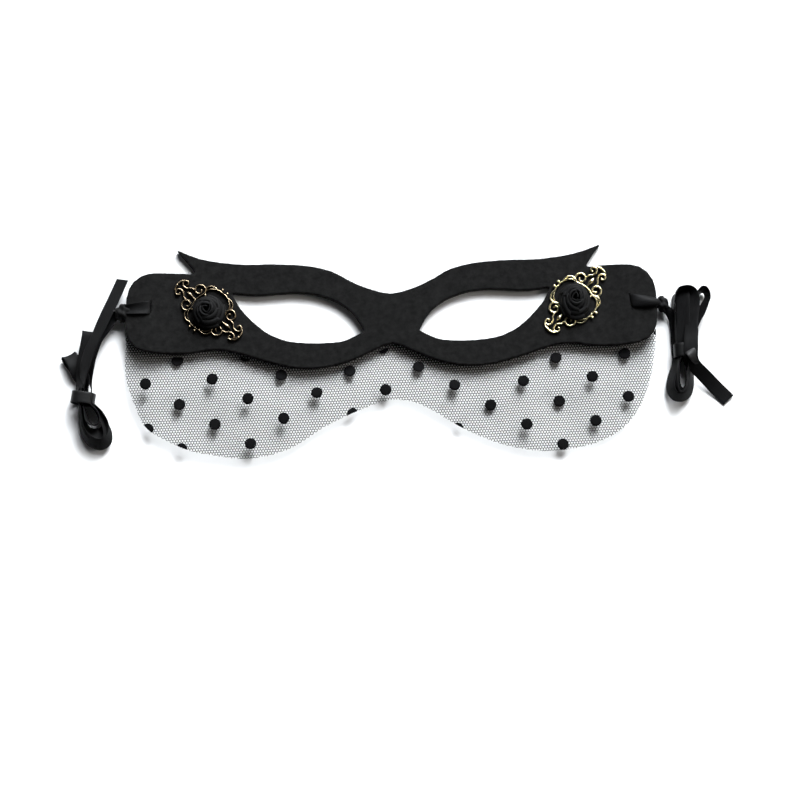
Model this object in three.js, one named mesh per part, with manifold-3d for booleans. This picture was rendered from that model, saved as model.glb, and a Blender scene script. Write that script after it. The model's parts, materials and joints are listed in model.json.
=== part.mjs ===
// A felt half mask lying on its back: a 3 mm felt cut-out with a dotted tulle veil behind it,
// two brass filigrees with rolled roses, and two ribbon ties, each folded into a small hank.
// Millimetres. +X is to the right seen from the front, +Y towards the brow, +Z out of the front.
import * as THREE from "three";
import { mergeVertices } from "three/addons/utils/BufferGeometryUtils.js";
import Module from "manifold-3d";

const wasm = await Module();
wasm.setup();

// Felt. Its outline is drawn as the right half, [x, y], and mirrored.
const feltThick = 3;
const feltTilt = THREE.MathUtils.degToRad(1.8); // the hem lies higher than the horn tips
const hornTip = [88.4, 30.3];
const hornNotch = [82.4, 20.8];
const hornHollow = [84.4, 25.4];
const browLine = [
  [0, 10.9], [8, 12.7], [16, 15.9], [26, 20.5], [36, 22.8],
  [50, 23.7], [64, 23.9], [76, 26], hornTip,
];
const lobeLine = [
  hornNotch, [90, 21.3], [98, 21.2], [104, 20], [108.7, 17], [111.2, 11.7], [111.8, 2.5],
  [111.4, -4.8], [108.9, -9.6], [103.5, -12.4], [94, -13.4], [84, -13.1], [75, -11.8],
];
const hemLine = [
  [66, -13.1], [56, -16.4], [46, -19.3], [36, -20.7], [25, -19.8], [16, -17.1], [8, -13.5],
  [0, -10.4],
];
const eyeInner = [11.6, -5.2];
const eyeOuter = [67.2, 12.4];
const eyeUpper = [
  eyeInner, [13.2, -1.9], [16, 2.4], [20, 5.9], [25, 8.7], [32, 11], [40, 11.9], [48, 11.6],
  [56, 11.1], [62, 11.6], eyeOuter,
];
const eyeLower = [
  eyeOuter, [64, 6.2], [60, 1.5], [56, -2.4], [51, -6], [44, -8.8], [36, -9.8], [28, -9.9],
  [20, -9.2], eyeInner,
];
const lobeRise = { left: 2.4, right: 1.5 }; // the lobes stand off the table over the ribbon loops
const riseFrom = 90;
const riseTo = 102;
const riseSteps = 5;
const slabReach = 120;
const slabDepth = 90;
const edgeSteps = { brow: 46, around: 88, eye: 18, horn: 4 };
const slitCut = { long: 7.4, wide: 1.8 };
const cutDepth = 20;

// Veil, a thin sheet behind the hem, with flocked dots in a half-drop lattice.
const veilThick = 0.5;
const veilGap = 0.5;
const veilTuck = 6; // how far it reaches up behind the felt
const veilLip = 1.5; // it stays flat this far past the felt's hem
const veilReach = 110.5;
const veilLine = [
  [0, -35], [9, -36.3], [20, -41.8], [34, -49.5], [48, -55.7], [62, -58], [76, -56.7],
  [90, -52], [101, -44], [107.5, -33], [110.8, -21], [111.7, -12.5],
];
const veilFloat = { height: 4.1, lean: -0.007, wave: 0.4, pitch: 7.4 };
const veilRiseOver = 12;
const veilGrid = { columns: 40, rows: 4 };
const dot = { radius: 2.4, thick: 0.4, sides: 8, first: [-104.6, -25.1], least: 1 };
const dotColumns = [-4, 9];
const dotRows = [-2, 8];
const dotAcross = [28.9, 1.15];
const dotDown = [14.9, -8.7];

// Filigrees, drawn in the first quarter with the long axis along u.
const brass = {
  wire: 0.8, high: 1.2, crown: 0.55, plateRadius: 5.4, plateThick: 0.5, plateSides: 20, ball: 0.62,
};
const restGap = 0.3; // between pieces that lie on each other
const filigreePlaces = [
  { side: "left", at: [-76.8, 5.1], turn: -42 },
  { side: "right", at: [77.6, 6.6], turn: 49 },
];

// Roses.
const rose = {
  radius: 6.85, high: 6, edgeFall: 0.55, petalPitch: 1.75, lip: 0.75, foot: 0.72, rings: 11,
  sectors: 24,
};

// Ribbon ties, 6 mm wide. A loop goes round the lobe through its slit, and is knotted outside.
const ribbon = { wide: 6, thick: 0.8, sides: 8, hankHigh: 6 };
const ribbonSteps = { loop: 16, lead: 4, tail: 8 };
const loopProfile = [ // outwards from the slit, and up from the felt's underside
  [12.6, 0.6], [9.8, -1.35], [3.4, -1.3], [0.3, -0.3], [-0.1, 1.5], [0.3, 3.3], [1.7, 4.2],
  [4.6, 4.5], [8.2, 4.3], [11.2, 3.5], [12.8, 2.2],
];
const ties = [
  {
    side: "left",
    slit: { at: [-101.3, 6.4], lean: -1 },
    knot: { at: [-114, 5.3, 4.3], size: [2, 3.4, 3] },
    lead: [[-115.5, 4, 3.4], [-118, -0.5, 3.2], [-120.8, -6, 3.2], [-123.1, -11.2, 3.2]],
    hank: [
      [-130.2, -2.2], [-125.4, -2.2], [-123.9, -13], [-124.9, -25], [-124.6, -31.5],
      [-120.2, -38], [-118.2, -44], [-119, -50], [-122, -53], [-126.8, -50.2], [-130.6, -44.5],
      [-132, -38.5], [-133.6, -32.5], [-133.3, -26.5], [-137, -18.5], [-139.2, -13.8],
      [-136.5, -11.4], [-132.3, -11.2],
    ],
    tail: [
      [-127.9, -25.5, 8.8], [-125.6, -14, 8.9], [-120.8, 0.5, 8], [-118.9, 6, 6.7],
      [-115.9, 12.5, 4.1], [-112.3, 19.2, 2.6],
    ],
    tailRoll: 42,
  },
  {
    side: "right",
    slit: { at: [100.8, 5.4], lean: 8 },
    knot: { at: [114.3, 4, 3.5], size: [2.1, 3.7, 2.8] },
    lead: [[114.9, 3.2, 3.3], [116.8, 1.6, 3.2], [118, 0.3, 3.2]],
    hank: [
      [118.6, 3.4], [119.6, 8.2], [123.4, 10.8], [128.3, 10.2], [131, 11.5], [133.4, 10],
      [134.2, 7.2], [132.8, 2.2], [128.5, -3.6], [127.2, -12.5], [128.3, -16.5], [126.6, -22.5],
      [126.2, -29.5], [123.7, -35], [119.3, -37.4], [115.9, -34.8], [114.7, -30.6],
      [116.4, -24], [118.4, -17.5], [118.7, -11.5], [118.9, -3.5],
    ],
    tail: [[129.3, -22.4, 0.9], [131.6, -25.7, 0.8], [136, -31.2, 0.7], [140.9, -37.2, 0.7]],
    tailRoll: 0,
  },
];

const feltBlack = { color: 0x1c1c1d, roughness: 0.95, metalness: 0 };
const tulleBlack = { color: 0x141415, roughness: 0.9, metalness: 0 };
const antiqueBrass = { color: 0x9a7b3c, roughness: 0.35, metalness: 0.9 };
const satinBlack = { color: 0x161617, roughness: 0.4, metalness: 0 };

const vector2 = ([x, y]) => new THREE.Vector2(x, y);
const vector3 = ([x, y, z]) => new THREE.Vector3(x, y, z);
const mirror = ([x, y]) => [-x, y];

function curveThrough(points, count) {
  return new THREE.SplineCurve(points.map(vector2)).getSpacedPoints(count);
}

function solidOf(geometry) {
  geometry.deleteAttribute("normal");
  geometry.deleteAttribute("uv");
  const merged = mergeVertices(geometry, 1e-4);
  return new wasm.Manifold(
    new wasm.Mesh({
      numProp: 3,
      vertProperties: merged.attributes.position.array,
      triVerts: new Uint32Array(merged.index.array),
    }),
  );
}

function meshOf(name, solid, look) {
  const { vertProperties, triVerts } = solid.getMesh();
  const geometry = new THREE.BufferGeometry();
  geometry.setAttribute("position", new THREE.BufferAttribute(vertProperties, 3));
  geometry.setIndex(new THREE.BufferAttribute(triVerts, 1));
  geometry.computeVertexNormals();
  const mesh = new THREE.Mesh(geometry, new THREE.MeshStandardMaterial(look));
  mesh.name = name;
  return mesh;
}

// The surface through rows of points that all have the same length.
function skin(rows) {
  const wide = rows[0].length;
  const position = rows.flat().flatMap((p) => [p.x, p.y, p.z]);
  const index = [];
  for (let i = 0; i < rows.length - 1; i++) {
    for (let j = 0; j < wide - 1; j++) {
      const a = i * wide + j;
      const b = a + wide;
      index.push(a, b, a + 1, b, b + 1, a + 1);
    }
  }
  const geometry = new THREE.BufferGeometry();
  geometry.setAttribute("position", new THREE.Float32BufferAttribute(position, 3));
  geometry.setIndex(index);
  return geometry;
}

// A closed body from rings of points; each ring repeats its first point, and the rings' first
// half faces its second half across the end caps.
function cappedTube(rings) {
  const geometry = skin(rings);
  const index = [...geometry.index.array];
  const wide = rings[0].length;
  const half = (wide - 1) / 2;
  [0, (rings.length - 1) * wide].forEach((start, end) => {
    for (let j = 0; j < half - 1; j++) {
      const a = start + j;
      const b = start + j + 1;
      const c = start + wide - 2 - j;
      const d = start + wide - 3 - j;
      const faces = [[a, b, c], [b, d, c]];
      faces.forEach(([p, q, r]) => index.push(...(end ? [p, r, q] : [p, q, r])));
    }
  });
  geometry.setIndex(index);
  return geometry;
}

// Felt

function lobeLift(x) {
  const rise = x < 0 ? lobeRise.left : lobeRise.right;
  return rise * THREE.MathUtils.smoothstep(Math.abs(x), riseFrom, riseTo);
}

function feltShape() {
  const half = browLine.slice(1);
  const brow = curveThrough([...half.map(mirror).reverse(), ...browLine], edgeSteps.brow);
  const edge = [...lobeLine, ...hemLine];
  const around = curveThrough(
    [...edge, ...edge.slice(0, -1).map(mirror).reverse()], edgeSteps.around,
  );
  const underHorn = new THREE.QuadraticBezierCurve(
    vector2(hornTip), vector2(hornHollow), vector2(hornNotch),
  ).getPoints(edgeSteps.horn).slice(1, -1);
  const underLeftHorn = underHorn.map(({ x, y }) => new THREE.Vector2(-x, y)).reverse();
  const outline = [...brow, ...underHorn, ...around, ...underLeftHorn];
  const shape = new THREE.Shape(outline.reverse());
  for (const flip of [(p) => p, mirror]) {
    const upper = curveThrough(eyeUpper.map(flip), edgeSteps.eye);
    const lower = curveThrough(eyeLower.map(flip), edgeSteps.eye);
    shape.holes.push(new THREE.Path([...upper, ...lower.slice(1, -1)]));
  }
  return shape;
}

function feltSolid() {
  const steps = Array.from({ length: riseSteps + 1 }, (_, i) =>
    THREE.MathUtils.lerp(riseTo, riseFrom, i / riseSteps));
  const stations = [slabReach, ...steps];
  const xs = [...stations.map((x) => -x), ...stations.reverse()];
  const slabTop = xs.map((x) => new THREE.Vector2(x, lobeLift(x) + feltThick));
  const slabBase = xs.map((x) => new THREE.Vector2(x, lobeLift(x))).reverse();
  const slab = new THREE.ExtrudeGeometry(new THREE.Shape([...slabTop, ...slabBase]), {
    depth: slabDepth, bevelEnabled: false,
  });
  slab.rotateX(Math.PI / 2).translate(0, slabDepth / 2, 0);
  const cutter = new THREE.ExtrudeGeometry(feltShape(), { depth: cutDepth, bevelEnabled: false });
  cutter.translate(0, 0, -cutDepth / 4);
  let solid = solidOf(slab).intersect(solidOf(cutter));
  for (const { slit } of ties) {
    const cut = new THREE.BoxGeometry(slitCut.wide, slitCut.long, cutDepth);
    cut.rotateZ(THREE.MathUtils.degToRad(slit.lean)).translate(...slit.at, 0);
    solid = solid.subtract(solidOf(cut));
  }
  return solid;
}

const feltLevel = hornTip[1] * Math.sin(feltTilt); // the horn tips touch the table

function feltUnderside(x, y) {
  return feltLevel - y * Math.tan(feltTilt) + lobeLift(x);
}

// Veil

const feltHem = [...lobeLine.slice(7), ...hemLine];

function hemHeight(x) {
  const at = Math.min(Math.abs(x), feltHem[0][0] - 0.01);
  const i = feltHem.findIndex(([lineX]) => lineX <= at);
  const [x0, y0] = feltHem[i - 1];
  const [x1, y1] = feltHem[i];
  return THREE.MathUtils.lerp(y0, y1, (at - x0) / (x1 - x0));
}

function veilHeight(x, y) {
  const held = feltUnderside(x, y) - veilGap - veilThick / 2;
  const free = veilFloat.height + veilFloat.lean * x
    + veilFloat.wave * Math.sin(x / veilFloat.pitch) * Math.cos(y / veilFloat.pitch);
  const share = THREE.MathUtils.smoothstep(hemHeight(x) - y, veilLip, veilRiseOver);
  return THREE.MathUtils.lerp(held, free, share);
}

function veilHem(count) {
  return curveThrough([...veilLine.slice(1).map(mirror).reverse(), ...veilLine], count);
}

function veilSheet() {
  const columns = veilHem(veilGrid.columns).map((low, i) => {
    const x = THREE.MathUtils.lerp(-veilReach, veilReach, i / veilGrid.columns);
    const rim = new THREE.Vector2(x, hemHeight(x) - veilLip);
    const line = [new THREE.Vector2(x, hemHeight(x) + veilTuck)];
    for (let j = 0; j <= veilGrid.rows; j++) line.push(rim.clone().lerp(low, j / veilGrid.rows));
    const face = (p, side) =>
      new THREE.Vector3(p.x, p.y, veilHeight(p.x, p.y) + (side * veilThick) / 2);
    const loop = [...line.map((p) => face(p, -1)), ...line.map((p) => face(p, 1)).reverse()];
    return [...loop, loop[0]];
  });
  return solidOf(cappedTube(columns));
}

// The flock stands on the veil's upper face, and is cut off with it along the hem.
function veilDots() {
  const top = [...feltHem, ...feltHem.slice(0, -1).map(mirror).reverse()];
  const plan = new THREE.Shape([
    ...veilHem(2 * veilGrid.columns), ...top.map(([x, y]) => new THREE.Vector2(x, y - veilLip / 2)),
  ]);
  const inside = solidOf(new THREE.ExtrudeGeometry(plan, { depth: cutDepth, bevelEnabled: false }));
  const discs = [];
  for (let i = dotColumns[0]; i <= dotColumns[1]; i++) {
    for (let j = dotRows[0]; j <= dotRows[1]; j++) {
      const x = dot.first[0] + i * dotAcross[0] + j * dotDown[0];
      const y = dot.first[1] + i * dotAcross[1] + j * dotDown[1];
      const z = veilHeight(x, y);
      const slope = [veilHeight(x + 1, y) - z, veilHeight(x, y + 1) - z];
      const disc = new THREE.CylinderGeometry(
        dot.radius, dot.radius, dot.thick + veilThick / 2, dot.sides,
      );
      disc.rotateX(Math.PI / 2).translate(0, 0, dot.thick / 2 + veilThick / 4);
      disc.rotateX(Math.atan(slope[1])).rotateY(-Math.atan(slope[0])).translate(x, y, z);
      const kept = solidOf(disc).intersect(inside);
      if (kept.volume() > dot.least) discs.push(kept);
    }
  }
  return discs;
}

function veilSolid() {
  return veilDots().reduce((sheet, disc) => sheet.add(disc), veilSheet());
}

// Filigree

// A flat wire along a curve in the (u, v) plane: a trapezoid section that thins towards its ends
// as the widths say.
function wire(points, widths, steps, high = brass.high) {
  const curve = new THREE.SplineCurve(points.map(vector2));
  const rings = [];
  for (let i = 0; i <= steps; i++) {
    const t = i / steps;
    const p = curve.getPointAt(t);
    const along = curve.getTangentAt(t);
    const slot = t * (widths.length - 1);
    const k = Math.min(Math.floor(slot), widths.length - 2);
    const w = THREE.MathUtils.lerp(widths[k], widths[k + 1], slot - k) / 2;
    const corner = (across, z) =>
      new THREE.Vector3(p.x - along.y * across, p.y + along.x * across, z);
    const top = w * brass.crown;
    const ring = [corner(-top, high), corner(top, high), corner(w, 0), corner(-w, 0)];
    rings.push([...ring, ring[0]]);
  }
  return solidOf(cappedTube(rings));
}

function quarterWires() {
  const w = brass.wire;
  const ring = [
    [-0.2, 9.1], [1.5, 9.35], [2.85, 8.6], [4.3, 8.4], [5.5, 7.4], [6.1, 5.9], [5.9, 4.3],
    [6.8, 2.3], [7.2, -0.2],
  ];
  const circle = [
    [6.2, 4.6], [6.9, 6], [8.6, 6.5], [10.3, 5.4], [10.5, 3.6], [9.1, 2.4], [7.6, 3], [7.7, 4.4],
    [8.7, 4.6],
  ];
  const stem = [
    [9.9, 2.7], [11.2, 2.6], [12.4, 1.3], [13.8, 1], [15, 2], [14.7, 3.5], [13.3, 3.8],
    [12.8, 2.8], [13.6, 2.3],
  ];
  const ball = new THREE.SphereGeometry(brass.ball, 5, 4);
  ball.rotateX(Math.PI / 2).translate(1.3, 10.45, brass.ball);
  return [
    wire(ring, [w, w * 1.25, w, w * 1.2, w], 8),
    wire(circle, [w, w * 1.1, w, w * 0.8], 7),
    wire(stem, [w * 0.8, w, w * 1.1, w * 0.7], 8),
    wire([[14.9, 3.2], [16, 1.9], [16.5, -0.1]], [w * 0.5, w * 1.1, w * 1.6], 3),
    wire([[0.9, 9], [1.3, 9.8], [1.3, 10.4]], [w, w * 0.8], 2),
    wire([[3.4, 2.6], [6.1, 4.6]], [w, w], 1, brass.plateThick),
    solidOf(ball),
  ];
}

function filigreeSolid() {
  const quarter = quarterWires();
  const leaf = wire([[6.9, 0], [8.2, 0], [9.6, 0], [11.2, 0]], [0.6, 0.9, 1.5, 0.2], 4);
  const plate = new THREE.CylinderGeometry(
    brass.plateRadius, brass.plateRadius, brass.plateThick, brass.plateSides,
  );
  plate.rotateX(Math.PI / 2).translate(0, 0, brass.plateThick / 2);
  let solid = solidOf(plate);
  for (const turn of [[1, 1], [-1, 1], [1, -1], [-1, -1]]) {
    for (const part of quarter) solid = solid.add(part.scale([...turn, 1]));
  }
  return solid.add(leaf).add(leaf.scale([-1, 1, 1]));
}

// Rose: a low dome whose surface steps down in one spiral of petal edges.
function roseSolid() {
  const { radius, high, petalPitch, lip, rings, sectors } = rose;
  const rows = [];
  for (let s = 0; s <= sectors; s++) {
    const a = (-(s % sectors) / sectors) * 2 * Math.PI;
    const row = [new THREE.Vector3(0, 0, high)];
    for (let i = 1; i <= rings; i++) {
      const rim = radius * (1 - 0.045 * Math.cos(5 * a + 0.6));
      const r = (rim * i) / rings;
      const turns = r / petalPitch + a / (2 * Math.PI) + 0.16 * Math.sin(3 * a + r);
      const step = lip * (turns - Math.floor(turns));
      const dome = high * (1 - rose.edgeFall * (i / rings) ** 2.2);
      row.push(new THREE.Vector3(r * Math.cos(a), r * Math.sin(a), dome - lip + step));
    }
    const under = row[rings];
    row.push(new THREE.Vector3(under.x * rose.foot, under.y * rose.foot, 0));
    row.push(new THREE.Vector3(0, 0, 0));
    rows.push(row);
  }
  const geometry = skin(rows);
  const faces = [...geometry.index.array];
  const wide = rows[0].length;
  const kept = [];
  for (let f = 0; f < faces.length; f += 3) {
    const [a, b, c] = faces.slice(f, f + 3);
    const ends = [a, b, c].map((v) => ([0, wide - 1].includes(v % wide) ? v % wide : -v - 1));
    if (new Set(ends).size === 3) kept.push(a, b, c);
  }
  geometry.setIndex(kept);
  return solidOf(geometry);
}

// Ribbon ties

// A flat ribbon along a path; its width lies as near as it can to the given direction.
function flatTube(points, steps, across) {
  const path = new THREE.CatmullRomCurve3(points);
  const rings = Array.from({ length: steps + 1 }, (_, i) => {
    const along = path.getTangentAt(i / steps);
    const side = across.clone().projectOnPlane(along).normalize();
    const up = new THREE.Vector3().crossVectors(side, along);
    const ring = Array.from({ length: ribbon.sides }, (_, k) => {
      const a = ((k + 0.5) / ribbon.sides) * 2 * Math.PI;
      return path.getPointAt(i / steps)
        .addScaledVector(side, (ribbon.wide / 2) * Math.cos(a))
        .addScaledVector(up, (ribbon.thick / 2) * Math.sin(a));
    });
    return [...ring, ring[0]];
  });
  return solidOf(cappedTube(rings));
}

function loopSolid({ slit, knot }) {
  const [x, y] = slit.at;
  const out = new THREE.Vector2(knot.at[0] - x, knot.at[1] - y).normalize();
  const points = loopProfile.map(([u, z]) =>
    new THREE.Vector3(x + out.x * u, y + out.y * u, feltUnderside(knot.at[0], y) + z));
  const across = new THREE.Vector3(0, 1, 0)
    .applyAxisAngle(new THREE.Vector3(0, 0, 1), THREE.MathUtils.degToRad(slit.lean));
  return flatTube(points, ribbonSteps.loop, across);
}

function leadSolid(tie) {
  const lump = new THREE.SphereGeometry(1, 10, 5);
  lump.rotateX(Math.PI / 2).scale(...tie.knot.size).translate(...tie.knot.at);
  const lead = flatTube(tie.lead.map(vector3), ribbonSteps.lead, new THREE.Vector3(0, 0, 1));
  return loopSolid(tie).add(lead).add(solidOf(lump));
}

function tailSolid({ tail, tailRoll }) {
  const points = tail.map(vector3);
  const flat = new THREE.Vector3().subVectors(points.at(-1), points[0]).setZ(0).normalize();
  const roll = THREE.MathUtils.degToRad(tailRoll);
  const across = new THREE.Vector3(
    -flat.y * Math.cos(roll), flat.x * Math.cos(roll), Math.sin(roll),
  );
  return flatTube(points, ribbonSteps.tail, across);
}

function hankSolid({ hank }) {
  const outline = new THREE.SplineCurve([...hank, hank[0]].map(vector2)).getPoints(hank.length * 2);
  const geometry = new THREE.ExtrudeGeometry(new THREE.Shape(outline.slice(0, -1)), {
    depth: ribbon.hankHigh, bevelEnabled: false,
  });
  return solidOf(geometry);
}

// The scene graph. Felt, filigrees and roses share the tilted plane of the felt.
const maskPlane = new THREE.Group();
maskPlane.rotation.x = -feltTilt;
maskPlane.position.z = feltLevel;
maskPlane.add(meshOf("felt_mask", feltSolid(), feltBlack));
for (const { side, at, turn } of filigreePlaces) {
  const place = new THREE.Group();
  place.position.set(at[0], at[1], feltThick + restGap);
  place.rotation.z = THREE.MathUtils.degToRad(turn);
  const flower = meshOf(`rose_${side}`, roseSolid(), satinBlack);
  flower.position.z = brass.plateThick + restGap;
  place.add(meshOf(`filigree_${side}`, filigreeSolid(), antiqueBrass), flower);
  maskPlane.add(place);
}

const mask = new THREE.Group();
mask.add(maskPlane, meshOf("veil", veilSolid(), tulleBlack));

const ribbons = new THREE.Group();
for (const tie of ties) {
  ribbons.add(
    meshOf(`ribbon_${tie.side}_lead`, leadSolid(tie), satinBlack),
    meshOf(`ribbon_${tie.side}_hank`, hankSolid(tie), satinBlack),
    meshOf(`ribbon_${tie.side}_tail`, tailSolid(tie), satinBlack),
  );
}

// The origin is under the middle of the mask, without its ribbons.
const group = new THREE.Group();
const box = new THREE.Box3().setFromObject(mask, true);
for (const part of [mask, ribbons]) {
  part.position.set(-(box.min.x + box.max.x) / 2, -(box.min.y + box.max.y) / 2, 0);
  group.add(part);
}

export default group;
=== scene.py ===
import json
import math

import bpy
import numpy as np
from mathutils import Matrix, Vector, noise

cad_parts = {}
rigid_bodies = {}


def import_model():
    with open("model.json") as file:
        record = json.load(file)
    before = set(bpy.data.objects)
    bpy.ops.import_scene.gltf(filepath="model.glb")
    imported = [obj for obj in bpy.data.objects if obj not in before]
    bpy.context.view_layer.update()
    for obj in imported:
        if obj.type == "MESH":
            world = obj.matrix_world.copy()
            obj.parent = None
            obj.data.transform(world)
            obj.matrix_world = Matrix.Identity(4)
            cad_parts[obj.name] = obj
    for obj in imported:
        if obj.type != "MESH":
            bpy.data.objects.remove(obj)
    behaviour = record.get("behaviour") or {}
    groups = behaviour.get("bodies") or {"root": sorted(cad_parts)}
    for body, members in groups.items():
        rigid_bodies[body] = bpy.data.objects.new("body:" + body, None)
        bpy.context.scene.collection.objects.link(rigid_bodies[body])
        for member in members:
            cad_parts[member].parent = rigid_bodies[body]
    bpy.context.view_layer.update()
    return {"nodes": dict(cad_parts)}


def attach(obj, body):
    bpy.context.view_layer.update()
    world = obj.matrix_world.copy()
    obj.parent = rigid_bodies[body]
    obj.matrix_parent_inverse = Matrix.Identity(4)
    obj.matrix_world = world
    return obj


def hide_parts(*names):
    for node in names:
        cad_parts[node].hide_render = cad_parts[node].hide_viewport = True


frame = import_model()
print("frame loaded")

mm = 0.001
maskLie = {
    "shift": 13.7886,  # from the felt drawing's middle line to the frame's origin, along Y
    "thick": 3.0,
    "tilt": 1.8,
    "touch": 30.3,  # the drawing's Y where the felt comes down to the table
}
feltTilt = math.radians(maskLie["tilt"])
feltLevel = maskLie["touch"] * math.sin(feltTilt)


def linkedObject(name, data):
    made = bpy.data.objects.new(name, data)
    bpy.context.scene.collection.objects.link(made)
    return made


# Camera

cameraSet = {
    "target": (2.88, -20.38, 0.0),
    "distance": 1200.0,
    "elevation": 80.1,
    "roll": -1.15,
    "width": 336.0,  # of what it sees at the target
    "sensor": 36.0,
    "clip": (50.0, 20000.0),
}


def makeCamera(settings):
    data = bpy.data.cameras.new("camera")
    camera = linkedObject("camera", data)
    lift = math.radians(settings["elevation"])
    back = Vector((0.0, -math.cos(lift), math.sin(lift)))
    turn = (-back).to_track_quat("-Z", "Y").to_matrix().to_4x4()
    roll = Matrix.Rotation(math.radians(settings["roll"]), 4, "Z")
    place = (Vector(settings["target"]) + back * settings["distance"]) * mm
    camera.matrix_world = Matrix.Translation(place) @ turn @ roll
    data.sensor_width = settings["sensor"]
    data.lens = settings["sensor"] * settings["distance"] / settings["width"]
    data.clip_start = settings["clip"][0] * mm
    data.clip_end = settings["clip"][1] * mm
    bpy.context.scene.camera = camera


makeCamera(cameraSet)
print("camera placed")

# Meshes and pieces


def smoothMesh(name, points, faces):
    mesh = bpy.data.meshes.new(name)
    mesh.from_pydata((np.asarray(points, float) * mm).tolist(), [], faces)
    mesh.update()
    mesh.polygons.foreach_set("use_smooth", np.ones(len(mesh.polygons), bool))
    return mesh


def ridingPiece(name, mesh):
    piece = linkedObject(name, mesh)
    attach(piece, "root")
    return piece


def pieceOf(name, points, faces):
    return ridingPiece(name, smoothMesh(name, points, faces))


def bakedMesh(draft):  # applies a draft's modifiers, and drops the draft
    bpy.context.view_layer.update()
    graph = bpy.context.evaluated_depsgraph_get()
    mesh = bpy.data.meshes.new_from_object(draft.evaluated_get(graph))
    bpy.data.objects.remove(draft)
    return mesh


def pointsOf(mesh):
    flat = np.zeros(len(mesh.vertices) * 3)
    mesh.vertices.foreach_get("co", flat)
    return flat.reshape(-1, 3) / mm


def giveMaterial(piece, material):
    piece.data.materials.clear()
    piece.data.materials.append(material)


def tubeFaces(rows, ring, start=0, loop=False, inward=False):  # quads between rings of points
    faces = []
    for i in range(rows if loop else rows - 1):
        a = start + i * ring
        b = start + (i + 1) % rows * ring
        for j in range(ring):
            k = (j + 1) % ring
            faces.append((a + j, a + k, b + k, b + j) if inward else (a + j, b + j, b + k, a + k))
    return faces


def joined(parts):  # each part is its points, faces and crest marks
    points, faces, crest = [], [], []
    start = 0
    for partPoints, partFaces, partCrest in parts:
        points.append(partPoints)
        faces += [tuple(v + start for v in face) for face in partFaces]
        crest += list(partCrest)
        start += len(partPoints)
    return np.vstack(points), faces, crest


# Lines and directions


def smoothStep(value, low, high):
    t = np.clip((np.asarray(value, float) - low) / (high - low), 0, 1)
    return t * t * (3 - 2 * t)


def between(value, span):  # fades in over the first two values and out over the last two
    return smoothStep(value, span[0], span[1]) * (1 - smoothStep(value, span[2], span[3]))


def unit(rows):
    return rows / np.linalg.norm(rows, axis=1)[:, None]


def runAlong(line):
    return np.concatenate([[0], np.cumsum(np.linalg.norm(np.diff(line[:, :3], axis=0), axis=1))])


def resampled(line, count):
    run = runAlong(line)
    at = np.linspace(0, run[-1], count + 1)
    return np.stack([np.interp(at, run, line[:, k]) for k in range(line.shape[1])], axis=1)


def splineThrough(rows, steps):  # centripetal, so it doesn't loop at tight folds
    rows = np.asarray(rows, float)
    ends = np.vstack([2 * rows[0] - rows[1], rows, 2 * rows[-1] - rows[-2]])
    made = []
    for i in range(len(rows) - 1):
        p = ends[i:i + 4]
        gaps = np.sqrt(np.maximum(np.linalg.norm(np.diff(p[:, :3], axis=0), axis=1), 1e-6))
        at = np.concatenate([[0], np.cumsum(gaps)])
        for t in np.linspace(at[1], at[2], steps, endpoint=False):
            level = p
            for spans in ([(0, 1), (1, 2), (2, 3)], [(0, 2), (1, 3)], [(1, 2)]):
                share = np.array([[(t - at[low]) / (at[high] - at[low])] for low, high in spans])
                level = level[:-1] * (1 - share) + level[1:] * share
            made.append(level[0])
    made.append(rows[-1])
    return np.array(made)


def planSpline(points, count):  # a plain spline in the plane, in even steps
    p = np.asarray(points, float)
    dense = []
    for i in range(len(p) - 1):
        p0, p1, p2, p3 = p[max(i - 1, 0)], p[i], p[i + 1], p[min(i + 2, len(p) - 1)]
        v0, v1 = (p2 - p0) / 2, (p3 - p1) / 2
        for t in np.linspace(0, 1, 24, endpoint=False):
            cubic = (2 * p1 - 2 * p2 + v0 + v1) * t**3 + (3 * p2 - 3 * p1 - 2 * v0 - v1) * t**2
            dense.append(cubic + v0 * t + p1)
    dense.append(p[-1])
    return resampled(np.array(dense), count)


def directionOf(azimuth, elevation):
    a, e = np.radians(azimuth), np.radians(elevation)
    return np.stack([np.cos(a) * np.cos(e), np.sin(a) * np.cos(e), np.sin(e)], axis=-1)


def turnedFlat(points, degrees):  # about Z
    t = math.radians(degrees)
    c, s = math.cos(t), math.sin(t)
    return points @ np.array([[c, s, 0], [-s, c, 0], [0, 0, 1]])


# Ribbon ties

ribbonSet = {
    "wide": 6.0,
    "thick": 0.34,
    "step": 0.7,
    "lowest": 0.05,
    "selvedge": 0.02,
    "section": [  # place across, share of the thickness, share of the selvedge
        (-1, 0.55, 1), (-0.93, 1, 1), (-0.6, 1, 0), (-0.2, 1, 0),
        (0.2, 1, 0), (0.6, 1, 0), (0.93, 1, 1), (1, 0.55, 1),
    ],
    "pinch": [  # run along the ribbon, share of its width, how far it is cupped
        (0, 0.6, 0.3), (6, 0.85, 0.1), (12, 0.95, 0.1), (16, 0.92, 0.1), (19, 0.86, 0.7),
        (24, 0.72, 1.25), (28, 0.5, 1.2), (33, 0.6, 0.6), (40, 0.9, 0.2), (46, 1.0, 0.1),
    ],
}
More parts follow.
